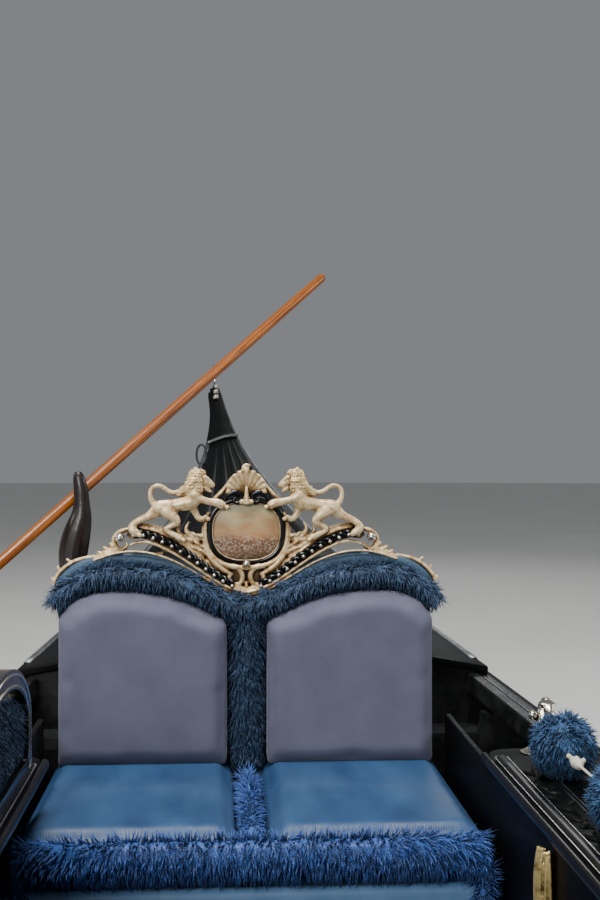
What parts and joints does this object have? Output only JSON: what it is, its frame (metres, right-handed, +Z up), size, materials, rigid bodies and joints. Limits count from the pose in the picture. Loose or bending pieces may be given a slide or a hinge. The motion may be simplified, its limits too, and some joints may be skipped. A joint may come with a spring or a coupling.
{
  "type": "gondola boat",
  "caption": "Black rowing gondola with an upturned bow iron, a carved and fur-trimmed loveseat, and a single oar working on a walnut crutch.",
  "frame": {"origin": "amidships on the waterline, in the vertical plane through the middle of the loveseat", "axes": "+X to the bow, +Y to port, +Z up"},
  "size_m": [10.7736, 3.0068, 2.5244],
  "materials": {
    "black_lacquer": "black lacquer polished to a high gloss",
    "black_paint": "satin black boat paint over wood",
    "floor_wood": "dark varnished floorboards",
    "bare_wood": "worn oiled wood",
    "walnut": "dark oiled walnut",
    "oar_wood": "orange-brown varnished wood, glossy",
    "iron": "polished steel",
    "brass": "polished pale brass",
    "carved_cream": "carved wood, cream and silver-gold paint with dark glaze",
    "gilt": "gilded carved wood",
    "painted_panel": "painted panel in ochre and rose under a thin varnish",
    "grey_velvet": "grey-blue velvet",
    "seat_satin": "steel-blue satin",
    "navy_fur": "long dark-blue plush fur",
    "royal_fur": "royal-blue plush fur",
    "navy_velvet": "dark navy velvet"
  },
  "bodies": {
    "hull": {"side_planks_port_aft": "black_lacquer", "side_planks_port_fore": "black_lacquer", "side_planks_starboard_aft": "black_lacquer", "side_planks_starboard_fore": "black_lacquer", "rub_rail_port": "black_lacquer", "rub_rail_starboard": "black_lacquer", "aft_deck": "black_lacquer", "fore_deck": "black_lacquer", "stem_post": "black_lacquer", "stern_post": "black_lacquer", "side_deck_port": "black_lacquer", "side_deck_starboard": "black_lacquer", "inner_panel_port": "black_lacquer", "inner_panel_starboard": "black_lacquer", "seat_base": "black_lacquer", "medallion_frame": "black_lacquer", "side_seat_box": "black_lacquer", "side_seat_back_frame": "black_lacquer", "bottom_planks": "black_paint", "frames_and_keelson": "black_paint", "inner_rail_port": "black_paint", "inner_rail_starboard": "black_paint", "aft_bulkhead": "black_paint", "fore_bulkhead": "black_paint", "aft_thwart": "black_paint", "fore_thwart": "black_paint", "floorboards_aft": "floor_wood", "floorboards_mid": "floor_wood", "floorboards_fore": "floor_wood", "foot_wedge": "bare_wood", "forcola_block": "walnut", "forcola_leg": "walnut", "forcola_head": "walnut", "bow_iron": "iron", "stern_iron": "iron", "seahorse_port": "brass", "seahorse_starboard": "brass", "crest_pediment": "carved_cream", "crest_shell": "carved_cream", "crest_lion_port": "carved_cream", "crest_lion_starboard": "carved_cream", "gilt_bracket_port": "gilt", "gilt_bracket_starboard": "gilt", "medallion_panel": "painted_panel", "seat_back_board": "grey_velvet", "back_pad_port": "grey_velvet", "back_pad_starboard": "grey_velvet", "seat_cushion_port": "seat_satin", "seat_cushion_starboard": "seat_satin", "seat_apron": "seat_satin", "back_fur": "navy_fur", "seat_fur": "royal_fur", "pompom_garland_port": "royal_fur", "pompom_garland_starboard": "royal_fur", "side_seat_cushion": "navy_velvet", "side_seat_back_pad": "navy_velvet", "deck_mat": "navy_velvet"},
    "oar": {"oar": "oar_wood"}
  },
  "joints": [
    {"name": "oar_stroke", "type": "hinge", "parent": "hull", "child": "oar", "pos_m": [-2.025, -0.493, 0.8935], "axis": [0, 0, 1], "range_deg": [-80, 10]}
  ]
}
